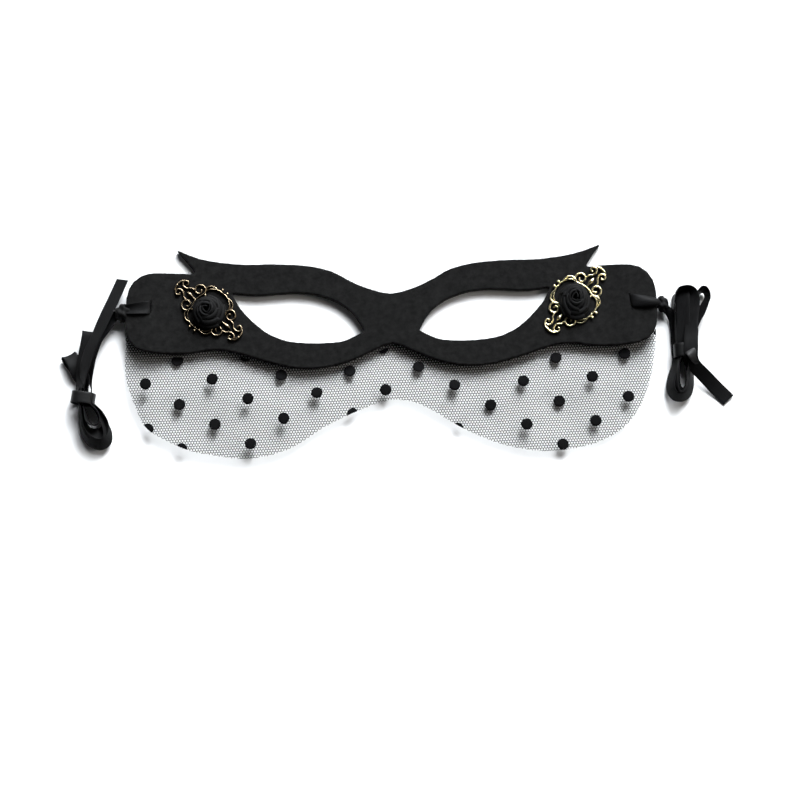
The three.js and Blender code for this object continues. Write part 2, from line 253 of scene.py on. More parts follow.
# Each row is a point on the ribbon's middle line, then the azimuth and elevation of its width.
leftRoute = [
    (-113.3, 19.2, 4.05, 89, 0), (-110.9, 19.4, 2.4, 89, 0), (-106.8, 19.7, 2.15, 89, 0),
    (-103, 20, 2.4, 89, 0), (-101.5, 20.2, 3.45, 89, 0), (-101.3, 20.2, 4.65, 89, 0),
    (-101.5, 20.2, 6.25, 89, 0), (-103, 20, 7.1, 89, 0), (-105.9, 19.8, 7.45, 89, 0),
    (-109.5, 19.5, 7.3, 89, 0), (-112.3, 19.2, 6.45, 89, 0), (-115.9, 17.5, 4.4, 120, 15),
    (-119.1, 13.9, 3.9, 320, 10), (-123.5, 8.1, 3.2, 330, 32), (-126.3, 0.1, 3, 336, 40),
    (-126.8, -7.6, 3.5, 342, 60), (-126.2, -13.8, 4.6, 350, 84), (-126.1, -18.8, 4.8, 0, 88),
    (-124.6, -21.9, 3.81, 210, 84), (-122.5, -25.3, 3.58, 210, 70), (-120.5, -29.1, 3.96, 200, 64),
    (-119.4, -33, 4.49, 180, 58), (-120, -36, 4.63, 145, 50), (-122.2, -37.4, 4.6, 105, 45),
    (-125.2, -36.8, 4.58, 75, 47), (-127.9, -34.7, 4.53, 50, 55), (-130, -31.4, 4.18, 28, 64),
    (-130.9, -27, 3.56, 10, 70), (-131, -22.7, 3.15, 5, 80), (-132.2, -18.3, 3, 0, 88),
    (-132.2, -14, 3.2, 0, 70), (-130.6, -9.2, 3.6, 0, 42), (-129.8, -3.8, 3.8, 352, 20),
    (-128.7, 1.6, 3.8, 350, 15), (-127.7, 6.4, 3.9, 350, 12), (-127.2, 9.4, 4.2, 350, 10),
    (-127.1, 10.6, 5, 350, 10), (-127.2, 9.1, 5.9, 350, 10), (-127.7, 6, 6.2, 350, 12),
    (-128.6, 1.2, 6.2, 350, 15), (-129.7, -4.2, 6, 352, 20), (-130.5, -9.6, 5.6, 0, 42),
    (-131.1, -14.3, 5, 0, 70), (-131.3, -18.7, 4.8, 0, 88), (-130.4, -22.2, 4.61, 185, 86),
    (-129.8, -26.5, 4.25, 190, 76), (-128.7, -30, 4.14, 215, 62), (-126.7, -32.3, 4.02, 245, 40),
    (-124, -33.1, 4.04, 272, 20), (-121.6, -32, 3.96, 305, 34), (-120.7, -29.3, 4, 340, 52),
    (-121.5, -25.7, 3.73, 10, 70), (-123.5, -22.3, 3.22, 30, 82), (-125.6, -20.1, 3.1, 30, 86),
    (-127.4, -18.4, 3, 0, 88), (-127.8, -14.6, 2.9, 0, 84), (-128.8, -10.9, 2.2, 5, 45),
    (-130.5, -7.5, 1.4, 12, 18), (-132.5, -4.8, 0.8, 18, 8), (-134.6, -2.2, 0.6, 22, 4),
    (-136.2, -0, 0.8, 25, 4), (-136.4, 0.8, 1.6, 25, 2), (-135.7, 1, 2.5, 25, -3),
    (-134.5, -0.5, 3.3, 23, -9), (-133, -3.8, 3.8, 18, -8), (-131.6, -7.6, 3.6, 12, 15),
    (-130.5, -10.8, 3.3, 8, 50), (-130.1, -14.6, 3.1, 5, 80), (-130.1, -18.4, 3, 0, 88),
    (-129.4, -21.3, 4.2, 0, 88), (-128.6, -24.4, 4.77, 180, 84), (-127.7, -27.6, 5.4, 225, 79),
    (-125.6, -29.5, 5.69, 270, 79), (-123.6, -29, 5.6, 310, 79), (-123, -26.8, 5.25, 340, 79),
    (-124, -23.7, 4.89, 0, 82), (-125.9, -21.4, 4.8, 0, 86), (-127.4, -19.7, 4.8, 0, 88),
    (-128.5, -17.1, 4.9, 0, 88), (-129.1, -14, 6.2, 350, 86), (-129.4, -9.9, 7.6, 350, 62),
    (-128.7, -5.4, 8.3, 348, 42), (-126.4, 2.2, 8.4, 340, 36), (-124.1, 7.2, 8.3, 338, 40),
    (-121.8, 12.5, 7.9, 337, 34), (-118.8, 19.4, 6.8, 336, 30), (-117.1, 23.2, 5.9, 336, 30),
    (-115.2, 27.9, 4.6, 336, 30), (-113.2, 32.9, 3.4, 336, 30),
]
rightRoute = [
    (112.7, 18, 3.18, 98, 0), (110.3, 18.2, 1.53, 98, 0), (106.3, 18.6, 1.28, 98, 0),
    (102.5, 19, 1.53, 98, 0), (101, 19.2, 2.58, 98, 0), (100.8, 19.2, 3.78, 98, 0),
    (101, 19.2, 5.38, 98, 0), (102.5, 19, 6.23, 98, 0), (105.4, 18.7, 6.58, 98, 0),
    (109, 18.3, 6.43, 98, 0), (111.7, 18.1, 5.58, 98, 0), (113.4, 16.8, 4, 80, 35),
    (115.2, 15.9, 3.5, 62, 28), (117.3, 14, 2.7, 50, 24), (119.1, 11.2, 1.9, 30, 14),
    (120, 7.1, 1.5, 15, 8), (120.3, 2.3, 1.4, 5, 6), (120.5, -2.2, 1.4, 0, 10),
    (120.1, -5.2, 2.01, 0, 40), (118.9, -8, 3.01, 330, 62), (117.8, -11.1, 3.55, 340, 60),
    (116.7, -14.5, 4.11, 345, 60), (116.2, -17.4, 4.56, 0, 60), (116.7, -20.1, 4.84, 20, 60),
    (118.1, -21.9, 4.9, 55, 60), (120, -22.4, 4.9, 90, 60), (122, -22, 4.9, 120, 60),
    (123.7, -20.4, 4.84, 145, 60), (124.6, -17.4, 4.53, 170, 60), (125, -13.8, 3.97, 175, 62),
    (125.3, -10, 3.36, 180, 68), (125.7, -6.3, 2.85, 180, 80), (126, -2.6, 2.8, 180, 88),
    (126.5, 1.4, 3, 0, 88), (127.3, 5.9, 3.1, 0, 78), (128.4, 9.9, 3.2, 10, 62),
    (130.1, 13.2, 3.3, 10, 56), (131.9, 17.3, 3.4, 5, 58), (133.2, 20.2, 3.4, 0, 68),
    (133, 22.4, 3.4, 45, 70), (132, 23.7, 3.4, 80, 70), (130.8, 23.6, 3.4, 100, 72),
    (129.7, 22.4, 3.4, 150, 76), (128.9, 20.1, 3.4, 180, 80), (128, 17.7, 3.3, 180, 72),
    (127, 14.9, 3.1, 180, 45), (126.3, 11.6, 3, 180, 28), (125.4, 7.6, 3.2, 180, 26),
    (124.5, 1.8, 3.7, 180, 35), (123.9, -2.8, 4, 180, 50), (124.1, -6.1, 4.43, 180, 84),
    (124.3, -9.4, 4.84, 180, 78), (124.3, -12.8, 5.26, 180, 66), (124, -16.1, 5.72, 175, 62),
    (123.3, -19, 6.01, 155, 62), (121.9, -21, 6.07, 125, 62), (120.2, -21.6, 6.09, 90, 62),
    (118.8, -20.9, 6.07, 55, 62), (117.9, -18.9, 6.01, 25, 62), (117.8, -16, 5.72, 2, 62),
    (118.4, -12.7, 5.26, 350, 66), (119.2, -9.4, 4.94, 350, 78), (120, -6.1, 5.03, 345, 78),
    (121.4, -3, 5.5, 0, 50), (121.7, 1.1, 5.8, 0, 25), (122, 5.6, 5.7, 0, 25),
    (122.4, 10.5, 5.6, 0, 28), (122.5, 14.6, 5.4, 0, 28), (122.6, 19.1, 5.1, 0, 26),
    (122.7, 21.6, 4.6, 0, 24), (122.7, 22.8, 3.7, 0, 22), (122.7, 22, 2.8, 0, 20),
    (122.7, 18.8, 2.4, 0, 18), (122.7, 15.1, 2.3, 0, 16), (122.7, 11, 2.5, 0, 16),
    (122.6, 6, 2.8, 0, 18), (122.4, 1.5, 3.1, 0, 25), (122.2, -2.6, 3.3, 0, 45),
    (122.4, -5.8, 3.13, 180, 80), (123, -9.1, 3.24, 190, 82), (123.4, -12.5, 3.56, 184, 76),
    (123.3, -15.8, 4.02, 178, 74), (122.7, -18.4, 4.37, 155, 72), (121.3, -19.9, 4.52, 100, 70),
    (119.9, -18.9, 4.44, 45, 72), (119.2, -16.1, 4.08, 10, 74), (119.4, -12.8, 3.63, 0, 76),
    (119.7, -9.1, 3.34, 0, 84), (119.8, -5.8, 3.23, 0, 86), (119.4, -2.6, 3.4, 0, 86),
    (119.1, 1.5, 3.5, 0, 86), (119, 6, 3.5, 0, 86), (118.8, 10.5, 3.6, 0, 85),
    (118.7, 14.5, 3.8, 0, 84), (118.7, 18.2, 4, 0, 82), (119.3, 21.3, 4.4, 30, 76),
    (121.2, 23.1, 4.8, 70, 72), (123.4, 23.5, 5.2, 90, 68), (125.7, 23, 5.6, 75, 58),
    (126.7, 21.6, 6, 30, 45), (126.9, 19.2, 6.2, 10, 30), (126.7, 16, 6.3, 5, 25),
    (126.2, 13.1, 6.5, 5, 26), (125.8, 10.1, 6.8, 4, 26), (125.5, 5.6, 7.8, 2, 22),
    (125.1, 1.2, 9, 0, 12), (124.9, -1.7, 9.3, 0, 8), (124.8, -4.1, 9.2, 0, 10),
    (124.8, -5.9, 8.8, 10, 18), (125.3, -7.8, 7.7, 35, 28), (127, -10.1, 6.3, 47, 33),
    (128.8, -11.7, 5.1, 47, 31), (131.2, -13.9, 3.7, 47, 25), (133.7, -16.4, 2.4, 47, 18),
    (136.1, -18.8, 1.5, 47, 12), (138.7, -21.3, 0.9, 47, 8), (140.7, -23.4, 0.7, 47, 5),
]


def ribbonRows(route):
    rows = np.array(route, float)
    width = directionOf(rows[:, 3], rows[:, 4])
    for i in range(1, len(width)):
        if np.dot(width[i - 1], width[i]) < 0:
            width[i] = -width[i]
    return np.hstack([rows[:, :3], width])


def stripPiece(name, line, across, wide, cup=0.0, closed=False, lowest=-np.inf):
    count = len(line)
    if closed:
        along = unit(np.roll(line, -1, axis=0) - np.roll(line, 1, axis=0))
    else:
        along = unit(np.gradient(line, axis=0))
    side = unit(across - (across * along).sum(1)[:, None] * along)
    out = np.cross(along, side)
    spread, body, ridge = np.array(ribbonSet["section"], float).T
    face = ribbonSet["thick"] / 2 * body + ribbonSet["selvedge"] * ridge
    u = np.concatenate([spread, spread[::-1]])
    h = np.concatenate([face, -face[::-1]])
    half = np.broadcast_to(np.asarray(wide, float) / 2, count)
    bow = np.broadcast_to(np.asarray(cup, float), count)[:, None] * (1 - u**2)
    points = line[:, None, :] + side[:, None, :] * (half[:, None] * u)[:, :, None]
    points = (points + out[:, None, :] * (h + bow)[:, :, None]).reshape(-1, 3)
    points[:, 2] = np.maximum(points[:, 2], lowest)
    ring = len(u)
    faces = tubeFaces(count, ring, loop=closed)
    if not closed:
        last = (count - 1) * ring
        for j in range(len(spread) - 1):
            cap = (j, j + 1, ring - 2 - j, ring - 1 - j)
            faces += [cap, tuple(last + v for v in reversed(cap))]
    piece = pieceOf(name, points, faces)
    marks = np.stack([np.tile(u, count) / 2 + 0.5, np.repeat(runAlong(line), ring) / ribbonSet["wide"]], 1)
    corner = np.zeros(len(piece.data.loops), np.int32)
    piece.data.loops.foreach_get("vertex_index", corner)
    weave = piece.data.uv_layers.new(name="weave")
    weave.data.foreach_set("uv", marks[corner].astype(np.float32).ravel())
    return piece


def ribbonPiece(name, route):
    dense = splineThrough(ribbonRows(route), 8)
    rows = resampled(dense, int(round(runAlong(dense)[-1] / ribbonSet["step"])))
    line, across = rows[:, :3], rows[:, 3:]
    run = np.arange(len(line)) * ribbonSet["step"]
    at, share, cup = np.array(ribbonSet["pinch"]).T
    wide = ribbonSet["wide"] * np.interp(run, at, share)
    piece = stripPiece(name, line, across, wide, np.interp(run, at, cup), lowest=ribbonSet["lowest"])
    return piece, line, float(runAlong(line)[-1])


wrapSet = {
    "steps": 72,
    "square": 0.8,  # 1 is an ellipse, less is squarer
    "left": {"at": (-129.7, -17.8, 4.3), "half": (4.9, 4.15), "tilt": -9.0, "wide": 4.9},
    "right": {"at": (122.6, -2.6, 4.3), "half": (4.4, 4.15), "tilt": 2.0, "wide": 5.6},
}


def wrapPiece(name, settings):
    turn = np.linspace(0, 2 * math.pi, wrapSet["steps"], endpoint=False)
    c, s = np.cos(turn), np.sin(turn)
    u = settings["half"][0] * np.sign(c) * np.abs(c) ** wrapSet["square"]
    z = settings["half"][1] * np.sign(s) * np.abs(s) ** wrapSet["square"]
    tilt = math.radians(settings["tilt"])
    axis = np.array([-math.sin(tilt), math.cos(tilt), 0])
    cross = np.array([math.cos(tilt), math.sin(tilt), 0])
    line = np.array(settings["at"]) + u[:, None] * cross + z[:, None] * np.array([0, 0, 1.0])
    return stripPiece(name, line, np.tile(axis, (len(line), 1)), settings["wide"], closed=True)


knotSet = {
    "rings": 28,
    "sectors": 40,
    "wraps": (3.1, 0.2),  # how often the ribbon winds round the knot, and how high
    "creases": (7, 3, 0.06),  # round, along, and how high
    "body": 0.82,
    "left": {"at": (-112.9, 18.3, 4.3), "half": (3.7, 3.8, 3.1), "turn": -14.0},
    "right": {"at": (114.3, 17.6, 3.5), "half": (2.7, 3.6, 2.8), "turn": 14.0},
}


def knotPiece(name, settings):
    rings, sectors = knotSet["rings"], knotSet["sectors"]
    often, high = knotSet["wraps"]
    roundly, lengthwise, crease = knotSet["creases"]
    points = []
    for i in range(rings + 1):
        lat = math.pi * i / rings
        for j in range(sectors):
            lon = 2 * math.pi * j / sectors
            d = np.array([math.sin(lat) * math.cos(lon), math.cos(lat), math.sin(lat) * math.sin(lon)])
            fold = knotSet["body"] + high * math.sin(often * lat + lon + 0.5) ** 2
            fold += crease * math.sin(roundly * lon + lengthwise * lat)
            points.append(d * fold * np.array(settings["half"]))
    points = turnedFlat(np.array(points), settings["turn"]) + np.array(settings["at"])
    return pieceOf(name, points, tubeFaces(rings + 1, sectors, inward=True))


# The right tie's folded flap. Each row is a point, its width's azimuth and elevation, and its width.
flapRows = [
    (124.2, -3.3, 9.6, 45, -10, 4.4), (124.8, -4.2, 10.0, 45, -12, 4.6), (125.4, -5.3, 10.0, 40, -12, 4.4),
    (126.2, -6.8, 9.3, 25, -12, 3.6), (126.8, -8.0, 8.4, 0, -12, 2.4), (127.1, -8.8, 7.6, -10, -12, 1.6),
]


def flapPiece(name, rows):
    rows = np.array(rows, float)
    width = directionOf(rows[:, 3], rows[:, 4])
    line = splineThrough(np.hstack([rows[:, :3], width, rows[:, 5:]]), 8)
    return stripPiece(name, line[:, :3], line[:, 3:6], line[:, 6])


for side, route in (("left", leftRoute), ("right", rightRoute)):
    name = "ribbon_" + side
    ribbon, ribbonLine, ribbonLong = ribbonPiece(name, route)
    onRibbon = [wrapPiece(name + "_wrap", wrapSet[side]), knotPiece(name + "_knot", knotSet[side])]
    if side == "right":
        onRibbon.append(flapPiece(name + "_flap", flapRows))
    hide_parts(*[name + part for part in ("_lead", "_hank", "_tail")])
    print("ribbon", side, round(ribbonLong, 1), "mm")


# Felt

feltSet = {
    "voxel": 0.415,
    "weld": 0.01,
    "soften": 4,
    "fuzz": (0.09, 0.55),  # height and pitch
    "lumps": (0.09, 3.2),
    "lowest": 0.02,
    "horns": [((-88.4, 44.1), (-2.3, 1.5)), ((88.4, 44.1), (0.6, 0.3))],  # tip, how it is drawn out
    "hornReach": 9.0,
    "slits": [((-101.3, 20.2), -1.0), ((100.8, 19.2), 8.0)],  # middle, lean
    "slitClose": (0.6, 0.8),  # of its sides and its ends
    "brow": [(-1, 0.95), (1, 0.85)],  # side, rise
    "browSpan": (10, 26, 66, 86),
    "browDepth": (26, 34),
    "lobeRise": 0.5,
    "lobeSpan": (84, 90, 104, 112),
    "lobeDepth": (24, 31, 33.5, 36),
}


def hornShift(points):  # draws the horns' tips out to a point
    moved = np.zeros_like(points)
    for at, way in feltSet["horns"]:
        gap = np.linalg.norm(points[:, :2] - np.array(at), axis=1)
        moved[:, :2] += np.array(way) * (1 - smoothStep(gap, 0, feltSet["hornReach"]))[:, None]
    return moved


def slitShift(points):  # closes each slit round its ribbon
    moved = np.zeros_like(points)
    sides, ends = feltSet["slitClose"]
    for at, lean in feltSet["slits"]:
        t = math.radians(lean)
        across = np.array([math.cos(t), math.sin(t)])
        along = np.array([-math.sin(t), math.cos(t)])
        place = points[:, :2] - np.array(at)
        u, v = place @ across, place @ along
        atSide = (1 - smoothStep(np.abs(u), 0.9, 3.6)) * (1 - smoothStep(np.abs(v), 3.4, 5.5))
        atEnd = (1 - smoothStep(np.abs(u), 1.2, 3.0)) * between(np.abs(v), (1.5, 3.4, 3.8, 6.5))
        moved[:, :2] -= (np.sign(u) * sides * atSide)[:, None] * across
        moved[:, :2] -= (np.sign(v) * ends * atEnd)[:, None] * along
    return moved


def browShift(points):  # raises the top lines of the brow and of the lobes
    moved = np.zeros_like(points)
    x, y = points[:, 0], points[:, 1]
    for side, rise in feltSet["brow"]:
        moved[:, 1] += rise * between(x * side, feltSet["browSpan"]) * smoothStep(y, *feltSet["browDepth"])
    lobes = between(np.abs(x), feltSet["lobeSpan"]) * between(y, feltSet["lobeDepth"])
    moved[:, 1] += feltSet["lobeRise"] * lobes
    return moved


def uneven(point, settings):
    high, pitch = settings
    return high * noise.noise(Vector(point) / pitch)


def makeFelt(settings):
    draft = linkedObject("felt_draft", frame["nodes"]["felt_mask"].data.copy())
    weld = draft.modifiers.new("weld", "WELD")
    weld.merge_threshold = settings["weld"] * mm
    remesh = draft.modifiers.new("remesh", "REMESH")
    remesh.mode = "VOXEL"
    remesh.voxel_size = settings["voxel"] * mm
    soften = draft.modifiers.new("soften", "SMOOTH")
    soften.factor = 0.5
    soften.iterations = settings["soften"]
    mesh = bakedMesh(draft)
    points = pointsOf(mesh)
    normals = np.zeros(points.size)
    mesh.vertex_normals.foreach_get("vector", normals)
    shift = [uneven(p, settings["fuzz"]) + uneven(p, settings["lumps"]) for p in points]
    points += normals.reshape(-1, 3) * np.array(shift)[:, None]
    for shiftOf in (hornShift, slitShift, browShift):
        points += shiftOf(points)
    points[:, 2] = np.maximum(points[:, 2], settings["lowest"])
    mesh.vertices.foreach_set("co", (points * mm).ravel())
    mesh.polygons.foreach_set("use_smooth", np.ones(len(mesh.polygons), bool))
    mesh.update()
    felt = ridingPiece("felt", mesh)
    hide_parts("felt_mask")
    return felt


felt = makeFelt(feltSet)
print("felt made,", len(felt.data.polygons), "faces")

# Veil, an open honeycomb net that hangs from the felt's underside

netSet = {
    "across": (1.15, 0.046),  # from one cell to the next
    "tall": 1.04,  # from one row of cells to the next
    "start": (0.0, -25.0),
    "cells": (130, 75),  # either way from the start
    "inner": 0.78,  # the hole's share of its cell
    "high": 0.125,
    "test": 0.46,  # where along its spokes a thread is tried against the outline
    "tuck": 6.0,  # glued behind the felt's hem
    "gap": 0.75,
    "fall": (1.5, 12.0),  # below the hem, where it comes away and where it is free
    "float": (3.7, -0.007),  # height over the table, and its slope along X
    "wave": (0.4, 7.4),  # height and pitch
    "dips": [  # place, depth, reach
        (-89.0, -34.0, 1.9, 9.0), (-74.0, -44.0, 1.9, 9.0), (40.0, -38.0, 1.7, 9.0), (70.0, -36.0, 1.7, 8.0),
    ],
    "lobeRise": (2.4, 1.5),  # how far each lobe of the felt is lifted, and from where to where
    "lobeSpan": (90, 102),
    "hem": [
        (0, -10.4), (8, -13.5), (16, -17.1), (25, -19.8), (36, -20.7), (46, -19.3), (56, -16.4),
        (66, -13.1), (75, -11.8), (84, -13.1), (94, -13.4), (103.5, -12.4), (108.9, -9.6), (111.4, -4.8),
    ],
    "outline": [
        (-112.0, -12.5), (-111.7, -23.3), (-107.1, -37.6), (-101.9, -46.0), (-87.0, -54.0), (-75.7, -56.6),
        (-62.7, -58.4), (-50.1, -56.7), (-39.1, -52.3), (-28.0, -45.2), (-14.9, -39.1), (-5.5, -35.7),
        (0.4, -34.7), (7.9, -35.5), (16.7, -39.6), (27.9, -46.6), (42.4, -53.3), (53.7, -56.4),
        (65.4, -57.6), (76.0, -56.4), (86.5, -53.7), (96.3, -48.0), (103.2, -39.5), (108.4, -26.9),
        (110.6, -15.0), (111.2, -9.0),
    ],
}


def hemHeight(x):
    return np.interp(np.abs(x), *np.array(netSet["hem"]).T)


def veilHeight(x, y):
    lobe = np.where(x < 0, *netSet["lobeRise"]) * smoothStep(np.abs(x), *netSet["lobeSpan"])
    held = feltLevel - y * math.tan(feltTilt) + lobe - netSet["gap"]
    high, pitch = netSet["wave"]
    free = netSet["float"][0] + netSet["float"][1] * x + high * np.sin(x / pitch) * np.cos(y / pitch)
    for dipX, dipY, deep, reach in netSet["dips"]:
        free = free - deep * np.exp(-((x - dipX) ** 2 + (y - dipY) ** 2) / reach**2)
    return held + (free - held) * smoothStep(hemHeight(x) - y, *netSet["fall"])


def veilPlan(rise):  # the cut shape, with its upper edge this far above the hem
    lower = planSpline(netSet["outline"], 240)
    across = np.linspace(netSet["outline"][-1][0], netSet["outline"][0][0], 161)
    return np.vstack([lower, np.stack([across, hemHeight(across) + rise], axis=1)])


def planArea(plan):
    x, y = plan[:, 0], plan[:, 1]
    return abs(float(np.dot(x, np.roll(y, -1)) - np.dot(y, np.roll(x, -1)))) / 2


def insidePlan(points, plan):
    found = np.zeros(len(points), bool)
    for (x0, y0), (x1, y1) in zip(plan, np.roll(plan, -1, axis=0)):
        if y0 == y1:
            continue
        spans = (y0 > points[:, 1]) != (y1 > points[:, 1])
        found ^= spans & (points[:, 0] < x0 + (points[:, 1] - y0) * (x1 - x0) / (y1 - y0))
    return found


def netCells(settings, spokes, a, b, plan):  # the cells that the outline touches, with their centres
    wide, deep = settings["cells"]
    i, j = np.meshgrid(np.arange(-wide, wide + 1), np.arange(-deep, deep + 1), indexing="ij")
    i, j = i.ravel(), j.ravel()
    i = i - np.round(j / 2).astype(int)
    centres = np.array(settings["start"]) + i[:, None] * a + j[:, None] * b
    near = insidePlan(centres, plan)
    for spoke in spokes:
        near |= insidePlan(centres + spoke, plan)
    return i[near], j[near], centres[near]


def makeNet(settings):
    a = np.array(settings["across"])
    b = a / 2 + settings["tall"] * np.array([-a[1], a[0]]) / np.linalg.norm(a)
    spokes = [(a + b) / 3, (2 * b - a) / 3, (b - 2 * a) / 3]
    spokes += [-spoke for spoke in spokes]
    shared = [("up", 0, 0), ("down", -1, 1), ("up", -1, 0), ("down", -1, 0), ("up", 0, -1), ("down", 0, 0)]
    plan = veilPlan(settings["tuck"])
    i, j, centres = netCells(settings, spokes, a, b, plan)
    crest = (1 + settings["inner"]) / 2
    found = {}
    points, faces = [], []

    def corner(key, cell, m, share, z):
        if key not in found:
            found[key] = len(points)
            points.append((*(centres[cell] + spokes[m] * share), z))
        return found[key]

    for k in range(6):
        pair = (k, (k + 1) % 6)
        middles = centres + (spokes[pair[0]] + spokes[pair[1]]) * settings["test"]
        for cell in np.flatnonzero(insidePlan(middles, plan)):
            edge, top, rim = [], [], []
            for m in pair:
                kind, di, dj = shared[m]
                edge.append(corner((kind, i[cell] + di, j[cell] + dj), cell, m, 1, 0.0))
                top.append(corner(("crest", i[cell], j[cell], m), cell, m, crest, settings["high"]))
                rim.append(corner(("rim", i[cell], j[cell], m), cell, m, settings["inner"], 0.0))
            faces.append((*edge, top[1], top[0]))
            faces.append((*top, rim[1], rim[0]))
    points = np.array(points)
    points[:, 2] += veilHeight(points[:, 0], points[:, 1]) - settings["high"] / 2
    points[:, 1] += maskLie["shift"]
    net = pieceOf("net", points, faces)
    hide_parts("veil")
    return net, planArea(plan)


net, netArea = makeNet(netSet)
print("net made,", len(net.data.polygons), "faces")

# Flocked dots

dotSet = {
    "radius": 2.42,
    "high": 0.55,
    "foot": 0.12,  # below the net's threads
    "sectors": 40,
    "rings": 7,
    "first": (-104.6, -25.1),
    "across": (28.9, 1.15),
    "down": (14.9, -8.7),
    "least": 1.7,  # the smallest cut dot, in square millimetres
    "rough": (0.09, 3.0),
    "ragged": (0.054, 3.0),
    "sag": 2.0,  # of the rows towards the lower left
}


def dotShift(x, y):  # the net is pulled a little out of square
    low = np.clip((-x - 50) / 110 + (-y - 20) / 68 - 0.12, 0, 0.8)
    rise = 0.5 * smoothStep(x, 5, 25) + 0.6 * math.exp(-(((x + 33) / 8) ** 2))
    return np.array([float(smoothStep(-x, 85, 105)), rise - dotSet["sag"] * float(low)])


def clippedRim(rim, plan, turn):  # the part of a dot that is inside the veil
    low, high = rim.min(axis=0), rim.max(axis=0)
    across, up = np.meshgrid(np.linspace(low[0], high[0], 25), np.linspace(low[1], high[1], 25))
    grid = np.stack([across.ravel(), up.ravel()], axis=1)
    kept = grid[insidePlan(grid, plan) & insidePlan(grid, rim)]
    if len(kept) / len(grid) * float(np.prod(high - low)) < dotSet["least"]:
        return None, None
    centre = kept.mean(axis=0)
    way = np.stack([np.cos(turn), np.sin(turn)], axis=1)
    near, far = np.zeros(len(turn)), np.full(len(turn), 6.0)
    for _ in range(14):
        middle = (near + far) / 2
        tried = centre + way * middle[:, None]
        inside = insidePlan(tried, plan) & insidePlan(tried, rim)
        near = np.where(inside, middle, near)
        far = np.where(inside, far, middle)
    return centre, centre + way * near[:, None]


def dotRim(place, plan, settings):  # the dot's middle and rim, or nothing outside the veil
    turn = np.linspace(0, 2 * math.pi, settings["sectors"], endpoint=False)
    ragged, reach = settings["ragged"]
    rim = []
    for t in turn:
        way = np.array([math.cos(t), math.sin(t)])
        wobble = 1 + ragged * noise.noise(Vector((*(place + way * reach), 5.0)))
        rim.append(place + settings["radius"] * wobble * way)
    rim = np.array(rim)
    outside = ~insidePlan(rim, plan)
    if outside.all():
        return None, None
    if outside.any():
        return clippedRim(rim, plan, turn)
    return rim.mean(axis=0), rim


def dotPoints(centre, rim, settings):
    rough, pitch = settings["rough"]
    points = []
    for ring in range(settings["rings"] + 1):
        share = ring / settings["rings"]
        crown = settings["high"] * (1 - share**4) ** 0.5
        for x, y in centre + (rim - centre) * share:
            fleck = rough * noise.noise(Vector((x * pitch, y * pitch, 1.0)))
            points.append((x, y, crown + fleck * (1 - share**6)))
    for x, y in centre + (rim - centre) * 0.98:
        points.append((x, y, -settings["foot"]))
    return points


def makeDots(settings):
    plan = veilPlan(-netSet["fall"][0] / 2)
    sectors, rows = settings["sectors"], settings["rings"] + 2
    points, faces = [], []
    for i in range(-4, 10):
        for j in range(-2, 9):
            place = np.array(settings["first"])
            place = place + i * np.array(settings["across"]) + j * np.array(settings["down"])
            centre, rim = dotRim(place + dotShift(*place), plan, settings)
            if centre is None:
                continue
            faces += tubeFaces(rows, sectors, start=len(points))
            points += dotPoints(centre, rim, settings)
            faces.append(tuple(range(len(points) - 1, len(points) - 1 - sectors, -1)))
    points = np.array(points)
    points[:, 2] += veilHeight(points[:, 0], points[:, 1]) + netSet["high"] / 2
    points[:, 1] += maskLie["shift"]
    return pieceOf("net_dots", points, faces)


dots = makeDots(dotSet)
print("dots made,", len(dots.data.polygons), "faces")

# Filigrees, drawn in one quarter with the long axis along X, then turned onto the mask

brassSet = {
    "wire": 0.82,
    "high": 1.15,
    "taper": (0.55, 0.9),  # of a wire's end and of the next step
    "plate": (5.4, 0.5),  # radius and thickness
    "ball": 0.62,
    "restGap": 0.3,
    "left": {"at": (-76.9, 4.9), "turn": -42.0, "slot": "antique_brass"},
    "right": {"at": (77.5, 6.4), "turn": 47.8, "slot": "polished_brass"},
    "wires": [  # share of the height, steps, shares of the wire's width, line
        (1, 56, (1, 1, 0.8, 1.2, 1, 1), [  # ring
            (-0.2, 9.15), (1.4, 9.4), (2.6, 9.0), (3.7, 9.15), (5.2, 9.0), (6.4, 8.1), (6.9, 6.8),
            (6.6, 5.4), (6.1, 4.4), (6.7, 2.4), (7.2, -0.2),
        ]),
        (0.8, 20, (0.5, 0.9, 0.5), [(3.2, 8.7), (4.5, 8.1), (5.5, 7.2), (6.0, 6.2), (6.25, 5.1)]),
        (1, 44, (1, 1.15, 1, 0.85), [  # side circle
            (6.2, 4.6), (6.9, 6), (8.6, 6.5), (10.3, 5.4), (10.5, 3.6), (9.1, 2.4), (7.6, 3),
            (7.7, 4.4), (8.7, 4.6),
        ]),
        (1, 44, (0.8, 1, 1.15, 0.75), [  # stem with its end scroll
            (9.9, 2.7), (11.6, 2.5), (13.1, 1.2), (14.7, 0.9), (16.0, 1.8), (15.8, 3.2), (14.5, 3.6),
            (13.8, 2.7), (14.6, 2.2),
        ]),
        (1, 16, (0.5, 1.2, 1.7), [(15.9, 3.3), (17.0, 2.0), (17.4, -0.1)]),  # crescent
        (0.8, 8, (1, 0.8), [(0.9, 9), (1.3, 9.8), (1.3, 10.4)]),  # under the ball
        (0.5, 8, (1, 1), [(3.4, 2.6), (6.1, 4.6)]),  # from the plate to the ring
    ],
    "ballAt": (1.3, 10.45, 0),
    "leaf": (1.2, 18, (0.5, 0.7, 2.0, 0.2), [(7.0, 0), (8.6, 0), (10.4, 0), (12.3, 0)]),
}


